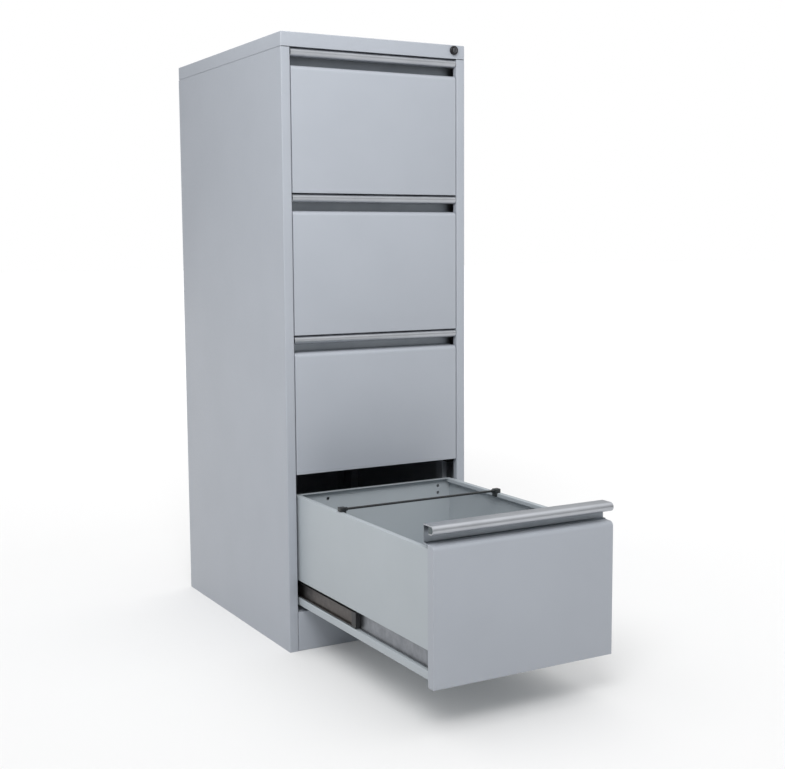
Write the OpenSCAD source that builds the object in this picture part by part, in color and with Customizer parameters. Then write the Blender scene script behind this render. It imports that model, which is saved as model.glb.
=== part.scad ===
// Upright filing cabinet with full-extension drawers, a central lock and a divider rod in each drawer.
// Millimetres. X runs across the cabinet and is centred on it, Y runs from front to back, Z is up.
// The origin is on the floor, at the centre of the cabinet's footprint.

/* [Cabinet] */
// Width across the side panels
cabinet_w = 452; // [400:1:560]
// Depth from the front of the stiles to the back panel
cabinet_d = 620; // [500:1:760]
// Height from the floor to the top
cabinet_h = 1330; // [1050:1:1600]
// Thickness of the shell's sheet steel
shell_t = 0.8; // [0.6:0.1:1.5]
// Width of the front stile folded from each side panel
stile_w = 21; // [18:0.5:30]
// Depth of the lip behind each stile
stile_lip = 14; // [8:1:18]
// Height of the top cover and of its front rail
cover_h = 30; // [26:1:40]
// Seam between the top cover and the panels below it
seam = 1.5; // [1:0.1:3]
// Height of the plinth below the bottom drawer
plinth_h = 88; // [60:1:140]
// Width of the base frame's ring on the floor
base_ring_w = 30; // [20:1:60]

/* [Drawer fronts] */
// Gap above and below each drawer front
front_gap = 2; // [1.5:0.5:5]
// Gap between a drawer front and the stiles
front_side_gap = 2; // [1.5:0.5:4]
// Depth of the folded drawer front
front_d = 20; // [16:1:26]
// Radius of the fold along the front's top edge
front_fold_r = 9; // [4:0.5:12]
// Height of the handle's half-round bar
bar_h = 17; // [14:0.5:24]
// Height of the finger recess below the bar
recess_h = 19; // [16:0.5:30]
// Depth of the finger recess, to the front of the handle's web
recess_d = 32; // [28:1:36]
// Wall of the handle's extruded section
handle_wall = 2; // [1.5:0.1:3]
// Length of the plugs that close the bar's ends
plug_len = 10; // [5:1:25]

/* [Drawer bodies] */
// Thickness of the drawers' sheet steel
drawer_t = 0.8; // [0.6:0.1:1.5]
// Height of the drawer's underside above the lower edge of its front
tray_lift = 12; // [8:1:16]
// Drop from the drawer front's shelf to the top of the side walls
side_drop = 9; // [4:1:30]
// Space left behind a closed drawer
rear_gap = 27; // [24:1:80]
// Gap between a drawer's side and the inner edge of the stile
tray_inset = 5; // [4:0.5:8]
// Width of the flange along the top of the walls
flange_w = 12; // [10:0.5:16]
// Depth of the hem turned down from the flange
hem_h = 8; // [5:0.5:12]
// Depth of the slide channel pressed into each side wall
channel_d = 12; // [11:0.5:14]
// Gap between the slide channel and the rail, above and below it
channel_gap = 1.5; // [0.5:0.1:4]
// Height of the channel's lower edge above the drawer's underside
channel_lift = 17; // [14:0.5:30]

/* [Slides] */
// Length of a drawer that stays in the cabinet when it is pulled right out
kept_in = 23; // [22:1:200]
// Height of the slide's rails
rail_h = 35; // [28:0.5:46]
// Thickness of the rails' steel
rail_t = 1.2; // [1:0.1:1.6]
// Depth of the outer rails' flanges
rail_flange = 5; // [4:0.1:5]
// Running gap between a drawer's side and the uprights
side_play = 2; // [1.5:0.1:3]
// Gap for the balls between two rails' flanges
ball_gap = 1.2; // [0.8:0.1:1.6]
// Length of the plastic stop on the middle rail
stop_len = 18; // [10:1:24]

/* [Divider rod] */
// Radius of the rod
rod_r = 2.5; // [2:0.1:4]
// Distance of the rod behind the drawer's front face
rod_back = 383; // [150:1:400]
// Length of each clip along the flange
clip_len = 14; // [10:1:24]
// Gap between a clip and the flange that it slides on
clip_gap = 0.4; // [0.3:0.05:0.8]

/* [Lock] */
// Distance of the lock's axis from the side panel's outer face
lock_inset = 29; // [28:0.5:34]
// Distance of the lock's axis below the top
lock_drop = 12; // [12:0.5:16]
// Radius of the lock's bezel
bezel_r = 10; // [9:0.1:12]
// How far the bezel stands out of the front rail
bezel_out = 6; // [3:0.5:10]
// Radius of the lock body behind the bezel
lock_body_r = 8.5; // [7.5:0.1:8.5]
// Radius of the turning plug
plug_r = 5.75; // [4:0.05:6]
// Radial running clearance around the plug
plug_play = 0.05; // [0.02:0.01:0.1]
// How far the lock bar moves up and down
bar_throw = 8; // [5:0.5:8]
// Width of the lock bar
lock_bar_w = 14; // [10:0.5:14]

/* [Hidden] */
$fn = 48;
drawer_count = 4;
eps = 0.01;
shell_fit = 0.2;
drawer_fit = 0.1;

// Drawers, measured from the front plane
tray_d = cabinet_d - rear_gap;
travel = tray_d - kept_in;

// Front openings, one above the other
pitch = (cabinet_h - cover_h - plinth_h - front_gap) / drawer_count;
front_w = cabinet_w - 2 * (stile_w + front_side_gap);
front_h = pitch - front_gap;
panel_h = front_h - bar_h - recess_h;
function front_z(n) = plinth_h + front_gap + (drawer_count - n) * pitch;
function open_by(n) = n == drawer_count ? travel : 0;

// Half widths, measured from the cabinet's middle
shell_x = cabinet_w / 2 - shell_t;
tray_x = cabinet_w / 2 - stile_w - tray_inset;
channel_x = tray_x - channel_d;
upright_x = tray_x + side_play;

// Drawer heights, measured from the lower edge of the drawer's front
tray_top = panel_h - side_drop;
channel_z = tray_lift + channel_lift;
channel_h = rail_h + 2 * channel_gap;
slide_z = channel_z + channel_h / 2;
wall_foot = 14;
clip_wall = 2;
clip_in = 5;
clip_out = 9;
back_hole_r = 3.5;
// The three holes in the back wall: distance from the left or right side wall, and below the top
back_holes = [[82 - tray_x, 17], [tray_x - 33, 17], [tray_x - 33, 33]];

// Slide rails, measured from the front plane
stop_y = front_d + drawer_t + 1;
drawer_rail_y = stop_y + 2;
middle_rail_y = stop_y + stop_len;
cabinet_rail_y = middle_rail_y - 4;
rail_end_y = tray_d - 2;
rail_clear = 0.5;

// Uprights that carry the rails
upright_w = 30;
front_upright_y = 60;
rear_upright_y = rail_end_y - upright_w - 30;
upright_ys = [front_upright_y, rear_upright_y];
upright_t = 1.5;
screw_r = 2;
screw_head_r = 3.5;
screw_head_h = 1.4;
screw_len = 6;

// Folded edges of the shell, and the frames inside it
joggle_h = 20;
rail_return = 25;
plinth_return = 40;
pan_flange = 18;
frame_t = 1.5;
stiffener_half_w = 22;
stiffener_foot = 18;
stiffener_h = 18;

// Lock: the pin turns through a quarter turn, so its height changes by its radius times the root of two.
// At rest the bar is down and the drawers are free, and the pin is at the lower left of the lock's axis.
lock_x = cabinet_w / 2 - lock_inset;
lock_z = cabinet_h - lock_drop;
lock_body_d = 28;
lock_hole_play = 0.1;
nut_wall = 3.5;
nut_t = 4;
bezel_step = 1.5;
plug_proud = 0.6;
keyhole_w = 1.8;
keyhole_h = 7.6;
keyhole_d = 12;
pin_circle_r = bar_throw / sqrt(2);
pin_off = bar_throw / 2;
pin_r = 1.8;
pin_play = 0.6;
cam_y = lock_body_d + 4;
cam_t = 3;
cam_r = pin_circle_r + pin_r + 1;
lock_bar_y = 44;
lock_bar_t = 2;
lock_bar_x = shell_x - lock_bar_w - 5.5;
lock_bar_z = plinth_h + 4;
slot_edge = 3;
lock_head_z = lock_z - pin_off - pin_r - pin_play - slot_edge;
tab_lift = 120;
tab_h = 20;
tab_gap = 1;
guide_h = 12;
guide_play = 0.6;
guide_wall = 1.9;

CABINET = [
    "top_cover", "left_side_panel", "right_side_panel", "back_panel", "plinth_front", "base_frame",
    "bottom_pan", "top_stiffener", "slide_uprights", "cabinet_rails", "rail_screws", "lock_housing",
    "lock_nut", "lock_bar_guides", "lock_plug", "lock_cam", "lock_cam_pin", "lock_bar", "lock_bar_head"];
DRAWER = [
    "front", "handle", "handle_plugs", "bottom", "side_walls", "end_walls", "rails", "cross_rod",
    "middle_rails", "slide_stops"];

// ---- Shared shapes ----

// Sheet steel folded along square bends. Each point is the low corner of the sheet there.
module folded(points, t) {
    for (i = [0:len(points) - 2]) {
        a = points[i];
        b = points[i + 1];
        translate([min(a.x, b.x), min(a.y, b.y)])
            square([abs(a.x - b.x) + t, abs(a.y - b.y) + t]);
    }
}

// A box from two opposite corners
module block(low, high) {
    translate(low) cube(high - low);
}

// Lays an outline drawn as [depth, height] along X, from x0 to x1
module along_x(x0, x1) {
    translate([x0, 0, 0]) rotate([90, 0, 90]) linear_extrude(x1 - x0) children();
}

// Lays an outline drawn as [across, height] along Y, from y0 to y1
module along_y(y0, y1) {
    translate([0, y1, 0]) rotate([90, 0, 0]) linear_extrude(y1 - y0) children();
}

// A round bar along X or along Y
module rod_x(r, x0, x1) {
    translate([x0, 0, 0]) rotate([0, 90, 0]) cylinder(r = r, h = x1 - x0);
}
module rod_y(r, y0, y1) {
    translate([0, y1, 0]) rotate([90, 0, 0]) cylinder(r = r, h = y1 - y0);
}

// The same shape on the right and on the left
module both_sides() {
    children();
    mirror([1, 0, 0]) children();
}

// Y starts at the front plane here
module in_cabinet() {
    translate([0, -cabinet_d / 2, 0]) children();
}

// Y starts at the drawer's front face and Z at the lower edge of its front
module in_drawer(n, share = 1) {
    in_cabinet() translate([0, -open_by(n) * share, front_z(n)]) children();
}

// ---- Shell ----

module side_panel() {
    web = shell_x;
    stile = cabinet_w / 2 - stile_w;
    linear_extrude(cabinet_h - cover_h - seam)
        folded([[stile, stile_lip], [stile, 0], [web, 0], [web, cabinet_d - 2 * shell_t],
                [web - stile_w + shell_t, cabinet_d - 2 * shell_t]], shell_t);
    // the web's rear edge covers the back panel's edge
    block([web, cabinet_d - 2 * shell_t, 0], [cabinet_w / 2, cabinet_d, cabinet_h - cover_h - seam]);
    // joggled strip that the top cover's skirt sits over
    block([web - shell_t, 2 * shell_t, cabinet_h - cover_h - joggle_h],
          [web, cabinet_d - 3 * shell_t, cabinet_h - 2 * shell_t]);
}

module right_side_panel() {
    color("#b2b6be") in_cabinet() side_panel();
}

module left_side_panel() {
    color("#b2b6be") in_cabinet() mirror([1, 0, 0]) side_panel();
}

module top_cover() {
    inner = shell_x;
    z0 = cabinet_h - cover_h;
    color("#b4b8c0") in_cabinet() difference() {
        union() {
            difference() {
                block([-cabinet_w / 2, 0, z0], [cabinet_w / 2, cabinet_d, cabinet_h]);
                block([-inner, shell_t, z0 - 1], [inner, cabinet_d - shell_t, cabinet_h - shell_t]);
            }
            // flange under the front rail
            block([-cabinet_w / 2 + stile_w, 0, z0], [cabinet_w / 2 - stile_w, rail_return, z0 + shell_t]);
        }
        translate([lock_x, 0, lock_z]) rod_y(lock_body_r + lock_hole_play, -1, shell_t + 1);
    }
}

module back_panel() {
    color("#a9adb5") in_cabinet()
        block([-shell_x + shell_fit, cabinet_d - shell_t, 0],
              [shell_x - shell_fit, cabinet_d, cabinet_h - cover_h - seam]);
}

module plinth_front() {
    x = cabinet_w / 2 - stile_w - shell_fit;
    color("#b2b6be") in_cabinet() along_x(-x, x)
        folded([[stile_lip, 0], [0, 0], [0, plinth_h - shell_t],
                [plinth_return, plinth_h - shell_t]], shell_t);
}

module base_frame() {
    x = shell_x - shell_fit;
    y0 = stile_lip + 2 * shell_t;
    y1 = cabinet_d - 2 * shell_t - shell_fit;
    t = frame_t;
    color("#9a9ea6") in_cabinet() difference() {
        block([-x, y0, 0], [x, y1, base_ring_w]);
        block([-x + t, y0 + t, t], [x - t, y1 - t, base_ring_w + 1]);
        block([-x + base_ring_w, y0 + base_ring_w, -1], [x - base_ring_w, y1 - base_ring_w, t + 1]);
    }
}

module bottom_pan() {
    x = shell_x - shell_fit;
    y0 = stile_lip + 2 * shell_t;
    y1 = cabinet_d - 2 * shell_t - shell_fit;
    z = plinth_h - shell_t;
    color("#9a9ea6") in_cabinet() difference() {
        block([-x, y0, z - pan_flange], [x, y1, z]);
        block([-x + shell_t, y0 + shell_t, z - pan_flange - 1], [x - shell_t, y1 - shell_t, z - shell_t]);
    }
}

module top_stiffener() {
    x = shell_x - 2 * shell_t;
    y0 = cabinet_d / 2 - stiffener_half_w;
    y1 = cabinet_d / 2 + stiffener_half_w;
    top = cabinet_h - shell_t - frame_t;
    floor = cabinet_h - shell_t - stiffener_h;
    color("#9a9ea6") in_cabinet() along_x(-x, x)
        folded([[y0 - stiffener_foot, top], [y0, top], [y0, floor], [y1, floor], [y1, top],
                [y1 + stiffener_foot, top]], frame_t);
}

// ---- Slides' fixed side ----

// The places of the screws that hold the cabinet's rails to the uprights
module at_rail_screws() {
    for (n = [1:drawer_count])
        for (y = upright_ys)
            translate([0, y + upright_w / 2, front_z(n) + slide_z]) children();
}

module slide_uprights() {
    z0 = plinth_h - shell_t;
    z1 = cabinet_h - cover_h - joggle_h;
    color("#9a9ea6") in_cabinet() both_sides() difference() {
        for (y = upright_ys)
            translate([0, 0, z0]) linear_extrude(z1 - z0)
                folded([[shell_x - upright_t, y], [upright_x, y], [upright_x, y + upright_w - upright_t],
                        [shell_x - upright_t, y + upright_w - upright_t]], upright_t);
        at_rail_screws() rod_x(screw_r, upright_x - 1, upright_x + upright_t + 1);
    }
}

// An outer rail: a channel whose web lies at web_x and whose mouth faces +X (dir 1) or -X (dir -1)
module outer_rail(web_x, dir, y0, y1) {
    h = rail_h / 2;
    along_y(y0, y1) translate([web_x, slide_z]) scale([dir, 1]) difference() {
        translate([0, -h]) square([rail_flange, rail_h]);
        translate([rail_t, -h + rail_t]) square([rail_flange, rail_h - 2 * rail_t]);
    }
}

module cabinet_rails() {
    color("#8d9096") in_cabinet() both_sides() difference() {
        for (n = [1:drawer_count])
            translate([0, 0, front_z(n)]) outer_rail(upright_x, -1, cabinet_rail_y, rail_end_y);
        at_rail_screws() rod_x(screw_r, upright_x - rail_t - 1, upright_x + 1);
    }
}

module rail_screws() {
    color("#b8bbc0") in_cabinet() both_sides() at_rail_screws() {
        rod_x(screw_r, upright_x - rail_t, upright_x + screw_len);
        rod_x(screw_head_r, upright_x - rail_t - screw_head_h, upright_x - rail_t);
    }
}

// ---- Lock ----

module lock_housing() {
    bore = plug_r + plug_play;
    color("#2c2b2d") in_cabinet() translate([lock_x, 0, lock_z]) difference() {
        union() {
            rod_y(bezel_r, -bezel_out + bezel_step, 0);
            rod_y(bezel_r - bezel_step, -bezel_out, 0);
            rod_y(lock_body_r, 0, lock_body_d);
        }
        rod_y(bore, -bezel_out - 1, lock_body_d + 1);
    }
}

module lock_nut() {
    color("#9c9fa4") in_cabinet() translate([lock_x, 0, lock_z]) difference() {
        rod_y(lock_body_r + nut_wall, shell_t, shell_t + nut_t, $fn = 6);
        rod_y(lock_body_r, 0, shell_t + nut_t + 1);
    }
}

module lock_plug() {
    color("#77797d") in_cabinet() translate([lock_x, 0, lock_z]) difference() {
        rod_y(plug_r, -bezel_out - plug_proud, cam_y);
        // keyhole
        block([-keyhole_w / 2, -bezel_out - 1, -keyhole_h / 2], [keyhole_w / 2, keyhole_d, keyhole_h / 2]);
    }
}

module lock_cam() {
    color("#b8bbc0") in_cabinet() translate([lock_x, 0, lock_z])
        rod_y(cam_r, cam_y, cam_y + cam_t);
}

module lock_cam_pin() {
    color("#b8bbc0") in_cabinet() translate([lock_x - pin_off, 0, lock_z - pin_off])
        rod_y(pin_r, cam_y + cam_t, lock_bar_y + lock_bar_t + 2);
}

// The strip runs down beside the drawers, with one locking tab for each
module lock_bar() {
    back = lock_bar_y + lock_bar_t;
    color("#8d9096") in_cabinet() {
        block([lock_bar_x, lock_bar_y, lock_bar_z], [lock_bar_x + lock_bar_w, back, lock_head_z]);
        for (n = [1:drawer_count])
            block([tray_x + tab_gap, lock_bar_y, front_z(n) + tab_lift],
                  [lock_bar_x, back, front_z(n) + tab_lift + tab_h]);
    }
}

// The head sits on top of the strip, and the cam's pin works in its slot
module lock_bar_head() {
    reach = pin_r + pin_play;
    back = lock_bar_y + lock_bar_t;
    slot_x = lock_x - pin_circle_r - reach;
    slot_z = lock_z - pin_off - reach;
    slot_top = slot_z + 2 * reach;
    color("#8d9096") in_cabinet() difference() {
        block([slot_x - slot_edge, lock_bar_y, lock_head_z],
              [lock_bar_x + lock_bar_w, back, slot_top + slot_edge]);
        block([slot_x, lock_bar_y - 1, slot_z], [lock_x - pin_off + reach, back + 1, slot_top]);
    }
}

module lock_bar_guides() {
    color("#2c2b2d") in_cabinet() for (z = [front_z(3), front_z(2), front_z(1)])
        translate([0, 0, z - front_gap - guide_h]) difference() {
            block([lock_bar_x - guide_play - guide_wall, lock_bar_y - guide_play - guide_wall, 0],
                  [shell_x, front_upright_y, guide_h]);
            block([lock_bar_x - guide_play, lock_bar_y - guide_play, -1],
                  [lock_bar_x + lock_bar_w + guide_play, lock_bar_y + lock_bar_t + guide_play, guide_h + 1]);
        }
}

// ---- Drawers ----

// Outline of the front, drawn as [depth, height]: the shelf at the top runs back to the handle's web
module front_outline() {
    r = front_fold_r;
    translate([r, panel_h - r]) circle(r);
    translate([r, panel_h - r]) square([front_d - r, r]);
    square([front_d, panel_h - r]);
}

module drawer_front() {
    t = shell_t;
    shelf_end = recess_d + handle_wall;
    color("#a9adb6") {
        difference() {
            along_x(-front_w / 2, front_w / 2) front_outline();
            // hollow behind the skin, with end walls, open to the back
            along_x(-front_w / 2 + t, front_w / 2 - t) intersection() {
                translate([t, t]) square([front_d, panel_h - 2 * t]);
                union() {
                    translate([front_fold_r, panel_h - front_fold_r]) circle(front_fold_r - t);
                    translate([front_fold_r, 0]) square([front_d, panel_h]);
                    square([front_d + 1, panel_h - front_fold_r]);
                }
            }
        }
        // shelf
        block([-front_w / 2, front_d - eps, panel_h - t], [front_w / 2, shelf_end, panel_h]);
    }
}

// Outline of the handle, drawn as [depth, height] above the shelf
module handle_outline() {
    r = bar_h / 2;
    top = recess_h + bar_h;
    w = handle_wall;
    translate([r, top - r]) difference() {
        circle(r);
        circle(r - w);
        translate([0, -r - 1]) square([r + 1, bar_h + 2]);
    }
    translate([r - eps, top - w]) square([recess_d + w - r, w]);
    translate([r - eps, recess_h]) square([r, w]);
    translate([recess_d, 0]) square([w, top]);
    translate([recess_d - 8, 0]) square([8 + w, w]);
}

module drawer_handle() {
    color("#bcbcbb") translate([0, 0, panel_h]) along_x(-front_w / 2, front_w / 2) handle_outline();
}

// Each plug fills one end of the hollow bar. The recess below it stays open at both ends.
module drawer_handle_plugs() {
    r = bar_h / 2;
    inner = r - handle_wall;
    color("#9fa2a8") translate([0, 0, panel_h]) both_sides()
        along_x(front_w / 2 - plug_len, front_w / 2) translate([r, recess_h + r]) {
            circle(inner);
            translate([0, -inner]) square([r, 2 * inner]);
        }
}

module drawer_bottom() {
    x = tray_x - drawer_t - drawer_fit;
    z = tray_lift + drawer_t;
    color("#a6b0b4") block([-x, front_d, z], [x, tray_d - drawer_t, z + drawer_t]);
}

module drawer_side_walls() {
    t = drawer_t;
    out = tray_x - t;
    z1 = tray_top - t;
    color("#b4b6bf") both_sides() along_y(front_d, tray_d)
        folded([[out - wall_foot, tray_lift], [out, tray_lift], [out, channel_z - t],
                [channel_x - t, channel_z - t], [channel_x - t, channel_z + channel_h],
                [out, channel_z + channel_h], [out, z1], [tray_x - flange_w, z1],
                [tray_x - flange_w, z1 - hem_h]], t);
}

// Outline of a wall across the drawer, drawn as [across, height], that fits between the side walls
module cross_outline(top) {
    play = drawer_fit;
    x = tray_x - drawer_t - play;
    z0 = tray_lift + 2 * drawer_t;
    difference() {
        translate([-x, z0]) square([2 * x, top - z0]);
        both_sides() {
            // slide channel
            translate([channel_x - drawer_t - play, channel_z - drawer_t - play])
                square([channel_d + 2, channel_h + 2 * (drawer_t + play)]);
            // flange and hem of the side wall
            translate([tray_x - flange_w - play, tray_top - hem_h - drawer_t - play])
                square([flange_w + 2, hem_h + 2 * drawer_t + 2]);
        }
    }
}

module drawer_end_walls() {
    color("#a6b0b4") {
        // liner behind the front
        along_y(front_d, front_d + drawer_t) cross_outline(panel_h - shell_t);
        // back wall, with three holes along its upper edge and a flange to the front
        difference() {
            along_y(tray_d - drawer_t, tray_d) cross_outline(tray_top);
            for (hole = back_holes)
                translate([hole.x, 0, tray_top - hole.y]) rod_y(back_hole_r, tray_d - 5, tray_d + 1);
        }
        x = tray_x - flange_w - drawer_fit;
        block([-x, tray_d - flange_w, tray_top - drawer_t], [x, tray_d - drawer_t + eps, tray_top]);
    }
}

module drawer_rails() {
    color("#8d9096") both_sides() outer_rail(channel_x, 1, drawer_rail_y, rail_end_y);
}

module drawer_cross_rod() {
    x = tray_x - flange_w - clip_gap;
    z = tray_top + clip_gap;
    rod_z = z + clip_wall + rod_r;
    color("#2b2d2f") translate([0, rod_back, 0]) {
        translate([0, 0, rod_z]) rod_x(rod_r, clip_wall - x, x - clip_wall);
        both_sides() difference() {
            union() {
                // saddle over the flange
                block([x - clip_in, -clip_len / 2, z],
                      [x + clip_out, clip_len / 2, rod_z + rod_r + clip_wall]);
                // tongue beside the hem
                block([x - clip_in, -clip_len / 2, z - hem_h], [x, clip_len / 2, z + eps]);
            }
            translate([0, 0, rod_z]) rod_x(rod_r, x - clip_in - 1, x - clip_wall);
        }
    }
}

// ---- Slides' middle rails, which move half as far as the drawer ----

module drawer_middle_rails() {
    x0 = channel_x + rail_t + rail_clear + 0.5;
    x1 = upright_x - rail_t - rail_clear - 0.5;
    h = rail_h / 2 - rail_t - ball_gap;
    color("#5f6266") both_sides() along_y(middle_rail_y, rail_end_y) translate([0, slide_z]) {
        translate([(x0 + x1 - rail_t) / 2, -h]) square([rail_t, 2 * h]);
        for (z = [-h, h - rail_t]) translate([x0, z]) square([x1 - x0, rail_t]);
    }
}

module drawer_slide_stops() {
    x0 = channel_x + rail_t + rail_clear;
    x1 = upright_x - rail_t - rail_clear;
    h = rail_h / 2 - rail_t - 0.5;
    color("#1d1e20") both_sides()
        block([x0, stop_y, slide_z - h], [x1, middle_rail_y, slide_z + h]);
}

top_cover();
left_side_panel();
right_side_panel();
back_panel();
plinth_front();
base_frame();
bottom_pan();
top_stiffener();
slide_uprights();
cabinet_rails();
rail_screws();
lock_housing();
lock_nut();
lock_bar_guides();
lock_plug();
lock_cam();
lock_cam_pin();
lock_bar();
lock_bar_head();
for (n = [1:drawer_count]) {
    name = str("drawer_", n, "_");
    in_drawer(n) drawer_front();
    in_drawer(n) drawer_handle();
    in_drawer(n) drawer_handle_plugs();
    in_drawer(n) drawer_bottom();
    in_drawer(n) drawer_side_walls();
    in_drawer(n) drawer_end_walls();
    in_drawer(n) drawer_rails();
    in_drawer(n) drawer_cross_rod();
    in_drawer(n, 0.5) drawer_middle_rails();
    in_drawer(n, 0.5) drawer_slide_stops();
}
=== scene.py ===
"""Four-drawer steel filing cabinet: the looks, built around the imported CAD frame. Metres."""
import math

import bmesh
import bpy
from mathutils import Matrix, Vector


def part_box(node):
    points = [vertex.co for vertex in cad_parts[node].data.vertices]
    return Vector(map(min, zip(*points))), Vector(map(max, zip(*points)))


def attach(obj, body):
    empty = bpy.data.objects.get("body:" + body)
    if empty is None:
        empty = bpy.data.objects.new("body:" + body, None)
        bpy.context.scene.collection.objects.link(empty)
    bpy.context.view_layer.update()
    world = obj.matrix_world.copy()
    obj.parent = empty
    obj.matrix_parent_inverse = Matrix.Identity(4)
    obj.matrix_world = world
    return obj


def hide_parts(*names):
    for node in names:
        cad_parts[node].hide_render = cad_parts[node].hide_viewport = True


MM = 0.001

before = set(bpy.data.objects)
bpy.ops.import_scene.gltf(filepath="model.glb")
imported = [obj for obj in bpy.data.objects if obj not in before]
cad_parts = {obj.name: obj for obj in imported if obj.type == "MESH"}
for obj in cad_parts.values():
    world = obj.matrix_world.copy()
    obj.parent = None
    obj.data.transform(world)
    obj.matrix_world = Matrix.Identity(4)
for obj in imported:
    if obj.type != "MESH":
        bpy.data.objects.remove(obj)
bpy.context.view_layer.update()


# ---------------------------------------------------------------- sizes read from the frame

def low(node):
    return Vector(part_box(node)[0])


def high(node):
    return Vector(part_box(node)[1])


DRAWERS = (1, 2, 3, 4)
SHEET = 0.8 * MM
STILE_LIP = 14 * MM
BEND = 1.8 * MM
SEAM = 1.5 * MM
MERGE = 0.002 * MM

cabinet_low = low("left_side_panel")
cabinet_high = high("top_cover")
HALF_W = cabinet_high.x
FRONT_Y = cabinet_low.y
BACK_Y = cabinet_high.y
TOP_Z = cabinet_high.z
PANEL_TOP = low("top_cover").z - SEAM
STILE_X = low("right_side_panel").x


# ---------------------------------------------------------------- material tools

def linear(hex_colour):
    """An sRGB hex colour as a linear RGBA."""
    channels = [int(hex_colour[i:i + 2], 16) / 255 for i in (1, 3, 5)]
    curve = [c / 12.92 if c <= 0.04045 else ((c + 0.055) / 1.055) ** 2.4 for c in channels]
    return (*curve, 1.0)


def add_node(tree, kind, settings=None, inputs=None):
    """One shader node, with its settings, and with its inputs set or linked."""
    node = tree.nodes.new(kind)
    for name, value in (settings or {}).items():
        setattr(node, name, value)
    for name, value in (inputs or {}).items():
        if isinstance(value, bpy.types.NodeSocket):
            tree.links.new(value, node.inputs[name])
        else:
            node.inputs[name].default_value = value
    return node


def new_material(name):
    material = bpy.data.materials.new(name)
    material.use_nodes = True
    tree = material.node_tree
    tree.nodes.clear()
    place = add_node(tree, "ShaderNodeTexCoord").outputs["Object"]
    return material, tree, place


def noise(tree, place, size, detail=2.0, stretch=(1, 1, 1)):
    """Noise whose lumps are about size metres across."""
    spread = add_node(tree, "ShaderNodeMapping", None, {"Vector": place, "Scale": stretch})
    lumps = add_node(tree, "ShaderNodeTexNoise", None,
                     {"Vector": spread.outputs["Vector"], "Scale": 1 / size, "Detail": detail})
    return lumps.outputs["Fac"]


def ramp(tree, value, stops):
    """A colour ramp from a list of (position, hex colour)."""
    node = add_node(tree, "ShaderNodeValToRGB", None, {"Fac": value})
    while len(node.color_ramp.elements) < len(stops):
        node.color_ramp.elements.new(0.5)
    for element, (position, colour) in zip(node.color_ramp.elements, stops):
        element.position = position
        element.color = linear(colour)
    return node.outputs["Color"]


def between(tree, value, start, end):
    """A 0 to 1 value, mapped to run from start to end."""
    return add_node(tree, "ShaderNodeMapRange", None,
                    {"Value": value, "To Min": start, "To Max": end}).outputs["Result"]


def bumped(tree, height, strength, distance):
    return add_node(tree, "ShaderNodeBump", None,
                    {"Height": height, "Strength": strength, "Distance": distance}).outputs["Normal"]


def surface(tree, **inputs):
    """The shader and the output of a material. Words in the socket names are joined by underscores."""
    shader = add_node(tree, "ShaderNodeBsdfPrincipled", None,
                      {name.replace("_", " "): value for name, value in inputs.items()})
    add_node(tree, "ShaderNodeOutputMaterial", None, {"Surface": shader.outputs["BSDF"]})


# ---------------------------------------------------------------- materials

def powder_coat(name, light, dark):
    """Baked polyester powder on steel: an even satin grey with a faint orange-peel skin."""
    material, tree, place = new_material(name)
    cloud = noise(tree, place, 140 * MM, 3)
    # orange peel is usually 2 to 3 mm across and too fine to show here, so it is drawn at 5 mm
    peel = noise(tree, place, 5 * MM, 2)
    surface(tree,
            Base_Color=ramp(tree, cloud, [(0.3, dark), (0.7, light)]),
            Roughness=between(tree, peel, 0.36, 0.50),
            Normal=bumped(tree, peel, 0.25, 0.3 * MM))
    return material


def anodised_aluminium(name, light, dark):
    """Extruded, satin anodised aluminium: fine die lines run along the bar and catch the light."""
    material, tree, place = new_material(name)
    die_lines = noise(tree, place, 0.8 * MM, 2, stretch=(0.004, 1, 1))
    cloud = noise(tree, place, 60 * MM, 2)
    surface(tree,
            Base_Color=ramp(tree, cloud, [(0.3, dark), (0.7, light)]),
            Metallic=1.0,
            Roughness=between(tree, die_lines, 0.36, 0.50),
            Normal=bumped(tree, die_lines, 0.12, 0.1 * MM))
    return material


def moulded_plastic(name, light, dark, roughness):
    """Injection-moulded plastic with a fine spark-eroded grain."""
    material, tree, place = new_material(name)
    # such grain is usually about 0.3 mm across, and is drawn at 1 mm so that it shows
    grain = noise(tree, place, 1 * MM, 3)
    surface(tree,
            Base_Color=ramp(tree, grain, [(0.3, dark), (0.7, light)]),
            Roughness=between(tree, grain, roughness - 0.06, roughness + 0.06),
            Normal=bumped(tree, grain, 0.2, 0.08 * MM))
    return material


def zinc_plate(name, light, dark):
    """Zinc on rolled steel strip: roll lines from front to back, and a slightly mottled shine."""
    material, tree, place = new_material(name)
    mottle = noise(tree, place, 14 * MM, 4)
    roll_lines = noise(tree, place, 0.7 * MM, 2, stretch=(1, 0.01, 1))
    surface(tree,
            Base_Color=ramp(tree, mottle, [(0.3, dark), (0.7, light)]),
            Metallic=1.0,
            Roughness=between(tree, roll_lines, 0.28, 0.46),
            Normal=bumped(tree, roll_lines, 0.15, 0.08 * MM))
    return material


def black_oxide():
    """Chemically blackened steel: near black, with a soft oily sheen and lighter worn patches."""
    material, tree, place = new_material("black oxide steel")
    wear = noise(tree, place, 6 * MM, 4)
    surface(tree,
            Base_Color=ramp(tree, wear, [(0.35, "#1d1c1e"), (0.75, "#3a393c")]),
            Metallic=0.6,
            Roughness=between(tree, wear, 0.26, 0.42),
            Normal=bumped(tree, wear, 0.1, 0.05 * MM))
    return material


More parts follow.
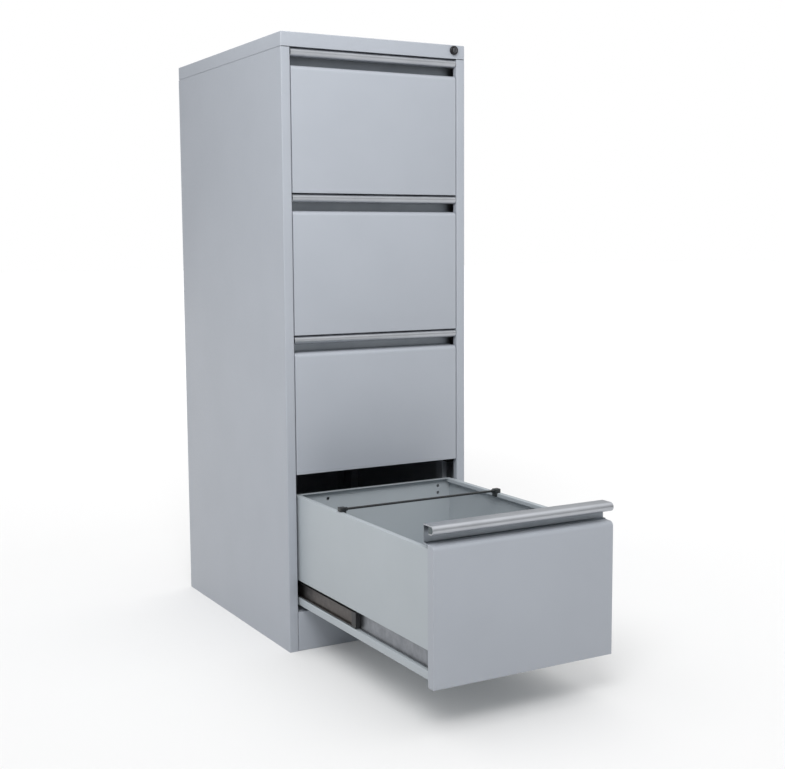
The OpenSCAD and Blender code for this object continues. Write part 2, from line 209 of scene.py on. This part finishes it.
def turned_steel():
    """Nickel-plated lock metal, a little rubbed by the key."""
    material, tree, place = new_material("nickel-plated lock metal")
    rub = noise(tree, place, 2 * MM, 4)
    surface(tree,
            Base_Color=ramp(tree, rub, [(0.3, "#6f7074"), (0.7, "#96979b")]),
            Metallic=1.0,
            Roughness=between(tree, rub, 0.22, 0.40),
            Normal=bumped(tree, rub, 0.08, 0.05 * MM))
    return material


SHELL_PAINT = powder_coat("light grey powder coat", "#a0a5ad", "#9da2aa")
DRAWER_PAINT = powder_coat("light grey powder coat inside", "#a6adb2", "#a3aaaf")
HANDLE_METAL = anodised_aluminium("satin anodised aluminium", "#b9bcc1", "#afb2b7")
# a darker copy of the handle aluminium for the web: painted shade in the finger recess
SHADED_WEB_METAL = anodised_aluminium("anodised aluminium darkened as painted recess shade", "#8e949b", "#858b92")
# the plugs' dark teal-grey is painted shade at the bar's ends; their grain is the plastic's own
SHADED_PLUG_PLASTIC = moulded_plastic("moulded ABS darkened as painted shade", "#4c5659", "#465053", 0.5)
BLACK_PLASTIC = moulded_plastic("black moulded nylon", "#232426", "#1a1b1c", 0.45)
ROD_COAT = moulded_plastic("black dip coat", "#26292b", "#1d2022", 0.4)
RAIL_ZINC = zinc_plate("bright zinc plate", "#8f9297", "#7d8085")
# a darker, warmer copy of the zinc: painted shade on the middle slide members, with a painted warm
# reflection
SHADED_WARM_ZINC = zinc_plate("dark zinc plate", "#605b58", "#4d4a48")
LOCK_BLACK = black_oxide()
LOCK_METAL = turned_steel()


# ---------------------------------------------------------------- mesh tools

SHARP = math.radians(40)
# a bevel as wide as half the side would leave a face with no width between its two curves
NEARLY = 0.999


def finish_piece(bm, name, body, material, slot, *replaced):
    """Makes the bmesh a piece that rides on a body and stands for the CAD nodes it replaces."""
    bmesh.ops.remove_doubles(bm, verts=bm.verts, dist=MERGE)
    for face in bm.faces:
        face.smooth = True
    for edge in bm.edges:
        edge.smooth = len(edge.link_faces) == 2 and edge.calc_face_angle(0) < SHARP
    mesh = bpy.data.meshes.new(name)
    bm.to_mesh(mesh)
    bm.free()
    piece = bpy.data.objects.new(name, mesh)
    bpy.context.scene.collection.objects.link(piece)
    mesh.materials.append(material)
    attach(piece, body)
    if replaced:
        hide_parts(*replaced)


def move(bm, geometry, offset):
    bmesh.ops.translate(bm, verts=[v for v in geometry if isinstance(v, bmesh.types.BMVert)], vec=offset)


def bevel(bm, edges, size, segments=3):
    bmesh.ops.bevel(bm, geom=edges, offset=size, offset_type="OFFSET", segments=segments, profile=0.5,
                    affect="EDGES", material=-1, clamp_overlap=True)


def sheet_metal(path, axis, start, end, thickness=SHEET, bends=None):
    """A strip of sheet folded along a path and run along an axis from start to end.

    The path gives the sheet's outer surface in the two other axes, in X, Y, Z order, and the sheet's
    thickness lies on its left-hand side going along it. bends gives the outer radius at each inner point.
    """
    bm = bmesh.new()
    others = [i for i in range(3) if i != axis]
    verts = []
    for a, b in path:
        place = Vector((0, 0, 0))
        place[axis] = start
        place[others[0]] = a
        place[others[1]] = b
        verts.append(bm.verts.new(place))
    edges = [bm.edges.new(pair) for pair in zip(verts, verts[1:])]
    made = bmesh.ops.extrude_edge_only(bm, edges=edges)["geom"]
    offset = Vector((0, 0, 0))
    offset[axis] = end - start
    move(bm, made, offset)
    bm.edges.ensure_lookup_table()
    bends = bends or [BEND] * (len(path) - 2)
    for size in sorted(set(bends)):
        corners = [p for p, r in zip(path[1:-1], bends) if r == size]
        folds = []
        for edge in bm.edges:
            one, two = (v.co for v in edge.verts)
            if abs(one[axis] - two[axis]) < 1e-7:
                continue
            if any(abs(one[others[0]] - a) < 1e-7 and abs(one[others[1]] - b) < 1e-7 for a, b in corners):
                folds.append(edge)
        if size > 0 and folds:
            bevel(bm, folds, size, 5)
    # the first face shows which way the strip's normals point, and the wall goes to the path's left
    a, b = Vector(path[0]), Vector(path[1])
    left = Vector((-(b - a).y, (b - a).x)).normalized()
    bm.faces.ensure_lookup_table()
    bm.normal_update()
    wall = Vector((0, 0, 0))
    wall[others[0]], wall[others[1]] = left
    first = min(bm.faces, key=lambda f: (Vector((f.calc_center_median()[others[0]],
                                                 f.calc_center_median()[others[1]])) - (a + b) / 2).length)
    sign = -1 if first.normal.dot(wall) > 0 else 1
    bmesh.ops.solidify(bm, geom=bm.faces[:], thickness=sign * thickness)
    bmesh.ops.recalc_face_normals(bm, faces=bm.faces[:])
    return bm


def join(bm, other):
    """Adds another bmesh's shape to bm."""
    holder = bpy.data.meshes.new("joined")
    other.to_mesh(holder)
    other.free()
    bm.from_mesh(holder)
    bpy.data.meshes.remove(holder)


def rounded_box(lo, hi, size, segments=3):
    lo, hi = Vector(lo), Vector(hi)
    bm = bmesh.new()
    bmesh.ops.create_cube(bm, size=1)
    bmesh.ops.scale(bm, verts=bm.verts, vec=hi - lo)
    bmesh.ops.translate(bm, verts=bm.verts, vec=(lo + hi) / 2)
    if size > 0:
        bevel(bm, bm.edges[:], size, segments)
    return bm


def turned(outline, axis, centre, steps=48):
    """A solid of revolution: the outline lists (distance along the axis, radius)."""
    bm = bmesh.new()
    along = Vector((0, 0, 0))
    along[axis] = 1
    out = Vector((0, 0, 0))
    out[(axis + 1) % 3] = 1
    verts = [bm.verts.new(Vector(centre) + along * d + out * r) for d, r in outline]
    edges = [bm.edges.new(pair) for pair in zip(verts, verts[1:])]
    bmesh.ops.spin(bm, geom=verts + edges, cent=centre, axis=along, angle=math.tau, steps=steps,
                   use_merge=True)
    bmesh.ops.remove_doubles(bm, verts=bm.verts, dist=MERGE)
    bmesh.ops.recalc_face_normals(bm, faces=bm.faces[:])
    return bm


BEAD_R = 9 * MM
BEAD_H = 1.2 * MM
BEAD_SINK = 0.3 * MM


def add_bead(bm, lo, hi, axis):
    """Adds a shallow pressed bead with round ends. It stands proud of a face that looks along the axis."""
    lo, hi = Vector(lo), Vector(hi)
    lo[axis] -= BEAD_SINK
    hi[axis] += BEAD_H
    bead = rounded_box(lo, hi, 0)
    corners = [e for e in bead.edges if abs(e.verts[0].co[axis] - e.verts[1].co[axis]) > 1e-4]
    bevel(bead, corners, BEAD_R * 0.99, 8)
    crown = hi[axis] - 0.1 * MM
    rim = [e for e in bead.edges if all(v.co[axis] > crown for v in e.verts)
           and e.calc_face_angle(0) > SHARP]
    bevel(bead, rim, BEAD_H - 0.1 * MM, 3)
    join(bm, bead)


def mirrored(bm):
    """The same shape on the other side of the cabinet's middle."""
    twin = bm.copy()
    bmesh.ops.scale(twin, verts=twin.verts, vec=(-1, 1, 1))
    bmesh.ops.reverse_faces(twin, faces=twin.faces[:])
    return twin


# ---------------------------------------------------------------- shell

def side_panel():
    """The right-hand panel: web, flush front stile with a lip behind it, and rear flange."""
    rear = BACK_Y - 2 * SHEET
    skirt = 18 * MM
    path = [(STILE_X, FRONT_Y + STILE_LIP), (STILE_X, FRONT_Y), (HALF_W, FRONT_Y), (HALF_W, rear + SHEET),
            (STILE_X + SHEET, rear + SHEET)]
    panel = sheet_metal(path, 2, cabinet_low.z, PANEL_TOP)
    # the edge that covers the back panel, and the joggled strip under the top cover's skirt
    join(panel, rounded_box((HALF_W - SHEET, rear, 0), (HALF_W, BACK_Y, PANEL_TOP), 0))
    join(panel, rounded_box((HALF_W - 2 * SHEET, FRONT_Y + 2 * SHEET, PANEL_TOP - skirt),
                            (HALF_W - SHEET, BACK_Y - 3 * SHEET, TOP_Z - 2 * SHEET), 0))
    return panel


def spot_welds(bm, places):
    """Adds the shallow rings that spot welding leaves, proud of a face that looks to the rear."""
    proud = 0.25 * MM
    rim = [(0.0, 1.6 * MM), (proud, 2.2 * MM), (proud, 3 * MM), (0.0, 3.6 * MM)]
    for place in places:
        join(bm, turned(rim + rim[:1], 1, place, 16))


def back_panel():
    """Rear sheet with two pressed stiffening beads, spot welded to the side panels' flanges."""
    lo, hi = low("back_panel"), high("back_panel")
    back = rounded_box(lo, hi, 0.2 * MM, 2)
    weld_x = HALF_W - 11 * MM
    first, step, count = lo.z + 60 * MM, 110 * MM, 12
    welds = [(x, hi.y, first + i * step) for x in (-weld_x, weld_x) for i in range(count)]
    spot_welds(back, welds)
    bead_x, bead_end = 110 * MM, 120 * MM
    for x in (-bead_x, bead_x):
        add_bead(back, (x - BEAD_R, hi.y, lo.z + bead_end), (x + BEAD_R, hi.y, hi.z - bead_end), 1)
    finish_piece(back, "rear_sheet", "cabinet", SHELL_PAINT, "body_paint", "back_panel")


def lock_bezel():
    """Turned lock body: a chamfered round bezel on the front rail, and the threaded barrel behind it."""
    lo, hi = low("lock_housing"), high("lock_housing")
    centre = ((lo.x + hi.x) / 2, FRONT_Y, (lo.z + hi.z) / 2)
    r = (hi.x - lo.x) / 2
    bore, barrel = 5.8 * MM, 8.5 * MM
    out, depth = lo.y - FRONT_Y, hi.y - FRONT_Y
    outline = [(out + 1.2 * MM, bore), (out + 0.3 * MM, bore + 0.5 * MM), (out, bore + 1.1 * MM),
               (out, r - 2.2 * MM), (out + 0.4 * MM, r - 1.2 * MM), (out + 1.2 * MM, r - 0.5 * MM),
               (out + 2.4 * MM, r - 0.1 * MM), (-1.2 * MM, r), (-0.8 * MM, r - 0.4 * MM), (0, r - 0.4 * MM),
               (0, barrel)]
    start, pitch, root = 5 * MM, 1.5 * MM, barrel - 0.5 * MM
    for i in range(int((depth - start) / pitch)):
        d = start + i * pitch
        outline += [(d, barrel), (d + pitch / 2, root)]
    outline += [(depth, root), (depth, bore)]
    bezel = turned(outline + outline[:1], 1, centre, 64)
    finish_piece(bezel, "lock_barrel", "cabinet", LOCK_BLACK, "lock_black", "lock_housing")


def side_panels():
    """The two side panels, which mirror each other."""
    right = side_panel()
    left = mirrored(right)
    finish_piece(right, "side_panel_right", "cabinet", SHELL_PAINT, "body_paint", "right_side_panel")
    finish_piece(left, "side_panel_left", "cabinet", SHELL_PAINT, "body_paint", "left_side_panel")


def top_cover():
    """A folded tray whose front edge is the rail with the lock, and the return under that rail."""
    cover_z = low("top_cover").z
    return_depth, fold_r = 25 * MM, 2.2 * MM
    cover = bmesh.new()
    bmesh.ops.create_cube(cover, size=1)
    bmesh.ops.scale(cover, verts=cover.verts, vec=(2 * HALF_W, BACK_Y - FRONT_Y, TOP_Z - cover_z))
    bmesh.ops.translate(cover, verts=cover.verts, vec=(0, (BACK_Y + FRONT_Y) / 2, (TOP_Z + cover_z) / 2))
    bottom = [f for f in cover.faces if f.normal.z < -0.5]
    bmesh.ops.delete(cover, geom=bottom, context="FACES_ONLY")
    bevel(cover, [e for e in cover.edges if len(e.link_faces) == 2], fold_r, 5)
    bmesh.ops.solidify(cover, geom=cover.faces[:], thickness=SHEET)
    path = [(FRONT_Y + SHEET, cover_z), (FRONT_Y + return_depth, cover_z)]
    join(cover, sheet_metal(path, 0, -STILE_X, STILE_X))
    finish_piece(cover, "top_cover_formed", "cabinet", SHELL_PAINT, "body_paint", "top_cover")


def plinth():
    """The plinth's front, with a return along its top and bottom."""
    lo, hi = low("plinth_front"), high("plinth_front")
    path = [(hi.y, hi.z), (FRONT_Y, hi.z), (FRONT_Y, 0), (FRONT_Y + STILE_LIP, 0)]
    front = sheet_metal(path, 0, lo.x, hi.x)
    finish_piece(front, "plinth_formed", "cabinet", SHELL_PAINT, "body_paint", "plinth_front")


def build_shell():
    back_panel()
    lock_bezel()
    side_panels()
    top_cover()
    plinth()


# ---------------------------------------------------------------- drawers

FOLD_R = 10 * MM


def drawer_front(n):
    """Hollow pressed front: its upper edge rolls back into the shelf under the handle."""
    lo, hi = low(f"drawer_{n}_front"), high(f"drawer_{n}_front")
    depth, edge_r = 20 * MM, 1.2 * MM
    bm = bmesh.new()
    outline = [(lo.y + depth, lo.z), (lo.y, lo.z), (lo.y, hi.z), (lo.y + depth, hi.z)]
    ring = [bm.verts.new((lo.x, y, z)) for y, z in outline]
    face = bm.faces.new(ring)
    made = bmesh.ops.extrude_face_region(bm, geom=[face])["geom"]
    move(bm, made, (hi.x - lo.x, 0, 0))
    bmesh.ops.recalc_face_normals(bm, faces=bm.faces[:])
    back = [f for f in bm.faces if f.normal.y > 0.5]
    bmesh.ops.delete(bm, geom=back, context="FACES_ONLY")
    roll = [e for e in bm.edges if all(v.co.y < lo.y + 1e-6 and v.co.z > hi.z - 1e-6 for v in e.verts)]
    bevel(bm, roll, FOLD_R, 10)
    rim = [e for e in bm.edges if len(e.link_faces) == 2 and e.calc_face_angle(0) > SHARP]
    bevel(bm, rim, edge_r, 4)
    bmesh.ops.solidify(bm, geom=bm.faces[:], thickness=SHEET)
    join(bm, sheet_metal([(lo.y + depth, hi.z), (hi.y, hi.z)], 0, lo.x, hi.x, -SHEET))
    finish_piece(bm, f"front_{n}", f"drawer_{n}", SHELL_PAINT, "front_paint", f"drawer_{n}_front")


def handle(n):
    """Extruded pull: a half-round bar with a flat top, and a web with a foot behind the recess, the web
    coloured darker as painted shade in the recess.
    """
    lo, hi = low(f"drawer_{n}_handle"), high(f"drawer_{n}_handle")
    wall, bar, foot, foot_bend = 2 * MM, 17 * MM, 10 * MM, 2.6 * MM
    nose = bar / 2 * NEARLY
    path = [(hi.y, hi.z), (lo.y, hi.z), (lo.y, hi.z - bar), (lo.y + bar, hi.z - bar)]
    grip = sheet_metal(path, 0, lo.x, hi.x, wall, [nose, nose])
    finish_piece(grip, f"pull_{n}", f"drawer_{n}", HANDLE_METAL, "handle_metal", f"drawer_{n}_handle")
    path = [(hi.y - foot, lo.z), (hi.y, lo.z), (hi.y, hi.z - wall)]
    web = sheet_metal(path, 0, lo.x, hi.x, wall, [foot_bend])
    # the web takes the darkened aluminium, painted shade of the recess
    finish_piece(web, f"pull_web_{n}", f"drawer_{n}", SHADED_WEB_METAL, "handle_metal", f"drawer_{n}_handle")


def handle_plugs(n):
    """Moulded plugs that fill the ends of the hollow bar."""
    lo, hi = low(f"drawer_{n}_handle_plugs"), high(f"drawer_{n}_handle_plugs")
    length, inset = 10 * MM, 0.2 * MM
    right = rounded_box((hi.x - length, lo.y, lo.z), (hi.x - inset, hi.y, hi.z), 0)
    nose = [e for e in right.edges if all(v.co.y < lo.y + 1e-6 for v in e.verts)
            and abs(e.verts[0].co.z - e.verts[1].co.z) < 1e-6]
    bevel(right, nose, (hi.z - lo.z) / 2 * NEARLY, 8)
    rim = [e for e in right.edges if e.calc_face_angle(0) > SHARP]
    bevel(right, rim, 0.4 * MM, 2)
    join(right, mirrored(right))
    # plug colour darkened as painted shade of the bar's ends
    finish_piece(right, f"pull_plugs_{n}", f"drawer_{n}", SHADED_PLUG_PLASTIC, "cap_plastic",
                 f"drawer_{n}_handle_plugs")


RAIL_T = 1.2 * MM
RAIL_FLANGE = 5 * MM
RAIL_BEND = 2.6 * MM
CHANNEL_GAP = 1.5 * MM


def side_walls(n):
    """Pressed side walls with the slide channel, and a flange with a turned hem along the top."""
    lo, hi = low(f"drawer_{n}_side_walls"), high(f"drawer_{n}_side_walls")
    foot, flange, hem = 14 * MM, 12 * MM, 8 * MM
    x = hi.x
    channel_x = high(f"drawer_{n}_rails").x - RAIL_FLANGE
    z0 = low(f"drawer_{n}_rails").z - CHANNEL_GAP
    z1 = high(f"drawer_{n}_rails").z + CHANNEL_GAP
    path = [(x - foot, lo.z), (x, lo.z), (x, z0), (channel_x, z0), (channel_x, z1), (x, z1), (x, hi.z),
            (x - flange, hi.z), (x - flange, hi.z - hem)]
    wall = sheet_metal(path, 1, lo.y, hi.y)
    join(wall, mirrored(wall))
    finish_piece(wall, f"sides_{n}", f"drawer_{n}", DRAWER_PAINT, "drawer_paint", f"drawer_{n}_side_walls")


def drawer_bottom(n):
    """Bottom sheet, stiffened by shallow pressed beads that run from front to back."""
    lo, hi = low(f"drawer_{n}_bottom"), high(f"drawer_{n}_bottom")
    sheet = rounded_box(lo, hi, 0.2 * MM, 2)
    step, bead_end = 80 * MM, 45 * MM
    for i in range(4):
        x = (i - 1.5) * step
        add_bead(sheet, (x - BEAD_R, lo.y + bead_end, hi.z), (x + BEAD_R, hi.y - bead_end, hi.z), 2)
    finish_piece(sheet, f"tray_{n}", f"drawer_{n}", DRAWER_PAINT, "drawer_paint", f"drawer_{n}_bottom")


def slide_rail(web_x, faces, lo, hi):
    """A roll-formed channel with its web at web_x, whose mouth faces +X (1) or -X (-1)."""
    tip = web_x + faces * RAIL_FLANGE
    path = [(tip, lo.z), (web_x, lo.z), (web_x, hi.z), (tip, hi.z)]
    return sheet_metal(path[::-1] if faces > 0 else path, 1, lo.y, hi.y, RAIL_T, [RAIL_BEND, RAIL_BEND])


def drawer_rails(n):
    """The inner members of the telescopic slides, in the channels of the side walls."""
    lo, hi = low(f"drawer_{n}_rails"), high(f"drawer_{n}_rails")
    rail = slide_rail(hi.x - RAIL_FLANGE, 1, lo, hi)
    join(rail, mirrored(rail))
    finish_piece(rail, f"inner_rails_{n}", f"drawer_{n}", RAIL_ZINC, "rail_steel", f"drawer_{n}_rails")


def cabinet_rails():
    """The outer members of the slides, screwed to the uprights."""
    rails = bmesh.new()
    lo, hi = low("cabinet_rails"), high("cabinet_rails")
    for n in DRAWERS:
        bottom = Vector((lo.x, lo.y, low(f"drawer_{n}_rails").z))
        top = Vector((hi.x, hi.y, high(f"drawer_{n}_rails").z))
        join(rails, slide_rail(hi.x, -1, bottom, top))
    join(rails, mirrored(rails))
    finish_piece(rails, "outer_rails", "cabinet", RAIL_ZINC, "rail_steel", "cabinet_rails")


def divider(n):
    """A coated rod across the drawer, held at each end by a moulded clip that slides on the flange."""
    lo, hi = low(f"drawer_{n}_cross_rod"), high(f"drawer_{n}_cross_rod")
    y = (lo.y + hi.y) / 2
    wall, rod_r, clip_len = 2 * MM, 2.5 * MM, 14 * MM
    saddle_low = hi.z - 2 * wall - 2 * rod_r
    inner = hi.x - clip_len
    clip = rounded_box((inner, lo.y, saddle_low), (hi.x, hi.y, hi.z), 1.4 * MM, 3)
    hook_low = (inner, lo.y + 0.2 * MM, lo.z)
    hook_high = (inner + 5 * MM, hi.y - 0.2 * MM, saddle_low + 3 * MM)
    join(clip, rounded_box(hook_low, hook_high, 1.2 * MM, 3))
    # collar that the rod's end is pushed into
    centre = (0, y, hi.z - wall - rod_r)
    mouth, root = inner - 5 * MM, inner + 1 * MM
    collar = [(mouth, rod_r), (mouth, rod_r + 1.1 * MM), (mouth + 0.6 * MM, rod_r + 1.5 * MM),
              (root, rod_r + 1.7 * MM), (root, rod_r)]
    join(clip, turned(collar + collar[:1], 0, centre, 24))
    join(clip, mirrored(clip))
    rod_end, chamfer = inner + 3 * MM, 0.4 * MM
    rod = [(-rod_end, 0), (-rod_end, rod_r - chamfer), (-rod_end + chamfer, rod_r),
           (rod_end - chamfer, rod_r), (rod_end, rod_r - chamfer), (rod_end, 0)]
    join(clip, turned(rod, 0, centre, 24))
    finish_piece(clip, f"divider_{n}", f"cross_rod_{n}", ROD_COAT, "rod_finish", f"drawer_{n}_cross_rod")


def build_drawers():
    cabinet_rails()
    for n in DRAWERS:
        drawer_front(n)
        handle(n)
        handle_plugs(n)
        side_walls(n)
        drawer_bottom(n)
        drawer_rails(n)
        divider(n)


# ---------------------------------------------------------------- carried-over nodes

def dress(node, material, edge=0.25 * MM):
    """Gives a CAD node its finish, and breaks its sharp edges as real cut and folded edges are."""
    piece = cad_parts[node]
    piece.data.materials.clear()
    piece.data.materials.append(material)
    weld = piece.modifiers.new("weld", "WELD")
    weld.merge_threshold = 0.001 * MM
    soften = piece.modifiers.new("edges", "BEVEL")
    soften.width = edge
    soften.segments = 2
    soften.limit_method = "ANGLE"
    soften.angle_limit = SHARP


def dress_nodes():
    for node in ("base_frame", "bottom_pan", "top_stiffener", "slide_uprights"):
        dress(node, SHELL_PAINT)
    for node in ("rail_screws", "lock_nut", "lock_cam", "lock_cam_pin", "lock_bar", "lock_bar_head"):
        dress(node, RAIL_ZINC)
    dress("lock_bar_guides", BLACK_PLASTIC)
    dress("lock_plug", LOCK_METAL)
    for n in DRAWERS:
        dress(f"drawer_{n}_end_walls", DRAWER_PAINT)
        # the middle members take the zinc copy darkened and warmed as painted shade and reflection
        dress(f"drawer_{n}_middle_rails", SHADED_WARM_ZINC)
        dress(f"drawer_{n}_slide_stops", BLACK_PLASTIC, 0.8 * MM)


# ---------------------------------------------------------------- stage, lights and camera

def floor_paper():
    """Matt white backdrop paper with a painted glow: faint near the cabinet, where it lightens the shadows,
    and stronger the further it is, so that no horizon shows.
    """
    material, tree, place = new_material("white backdrop paper")
    distance = add_node(tree, "ShaderNodeVectorMath", {"operation": "LENGTH"}, {0: place}).outputs["Value"]
    glow = add_node(tree, "ShaderNodeMapRange", None,
                    {"Value": distance, "From Min": 1.0, "From Max": 5.0, "To Min": 0.04,
                     "To Max": 0.3}).outputs["Result"]
    surface(tree, Base_Color=linear("#e6e6e6"), Roughness=0.9, Emission_Color=linear("#ffffff"),
            Emission_Strength=glow)
    return material


def area_light(name, place, target, size, spread, power):
    """A soft rectangular lamp. spread is in degrees and power in watts."""
    lamp = bpy.data.lights.new(name, "AREA")
    lamp.spread = math.radians(spread)
    lamp.shape = "RECTANGLE"
    lamp.size, lamp.size_y = size
    lamp.energy = power
    lit = bpy.data.objects.new(name, lamp)
    lit.location = place
    lit.rotation_euler = (Vector(target) - Vector(place)).to_track_quat("-Z", "Y").to_euler()
    bpy.context.scene.collection.objects.link(lit)


SKY_LOW = 0.18
SKY_HIGH = 1.4


def studio_world():
    """White all round for the eye. Its light is strong overhead and weaker near the horizon."""
    world = bpy.data.worlds.new("studio")
    world.use_nodes = True
    tree = world.node_tree
    tree.nodes.clear()
    direction = add_node(tree, "ShaderNodeTexCoord").outputs["Generated"]
    height = add_node(tree, "ShaderNodeSeparateXYZ", None, {"Vector": direction}).outputs["Z"]
    strength = add_node(tree, "ShaderNodeMapRange", {"interpolation_type": "SMOOTHSTEP"},
                        {"Value": height, "From Min": 0.0, "From Max": 1.0, "To Min": SKY_LOW,
                         "To Max": SKY_HIGH}).outputs["Result"]
    light = add_node(tree, "ShaderNodeBackground", None, {"Color": linear("#ffffff"), "Strength": strength})
    seen = add_node(tree, "ShaderNodeBackground", None, {"Color": linear("#ffffff"), "Strength": 1.0})
    path = add_node(tree, "ShaderNodeLightPath").outputs["Is Camera Ray"]
    both = add_node(tree, "ShaderNodeMixShader", None, {0: path, 1: light.outputs[0], 2: seen.outputs[0]})
    add_node(tree, "ShaderNodeOutputWorld", None, {"Surface": both.outputs[0]})
    bpy.context.scene.world = world


def build_stage():
    """A pale floor that fades into the white around it, under soft light."""
    half_width = 40
    bm = bmesh.new()
    bmesh.ops.create_grid(bm, x_segments=1, y_segments=1, size=half_width)
    mesh = bpy.data.meshes.new("floor")
    bm.to_mesh(mesh)
    bm.free()
    floor = bpy.data.objects.new("floor", mesh)
    mesh.materials.append(floor_paper())
    bpy.context.scene.collection.objects.link(floor)
    studio_world()
    bpy.context.scene.view_settings.view_transform = "Standard"
    area_light("key", place=(-1.6, -2.5, 2.8), target=(0, -0.2, 1.3), size=(1.8, 1.4), spread=70, power=16)


def build_camera():
    """Stands to the front left, two thirds of the way up the cabinet, and looks slightly down."""
    turn, tilt, roll = math.radians(29.23), math.radians(-6.43), math.radians(-0.37)
    lens = bpy.data.cameras.new("camera")
    lens.sensor_width = 36
    lens.lens = 57.25
    camera = bpy.data.objects.new("camera", lens)
    camera.matrix_world = (Matrix.Translation((-1.3224, -2.7361, 0.8891))
                           @ Matrix.Rotation(-turn, 4, "Z")
                           @ Matrix.Rotation(math.pi / 2 + tilt, 4, "X")
                           @ Matrix.Rotation(roll, 4, "Z"))
    bpy.context.scene.collection.objects.link(camera)
    bpy.context.scene.camera = camera


build_camera()
build_stage()
build_shell()
build_drawers()
dress_nodes()
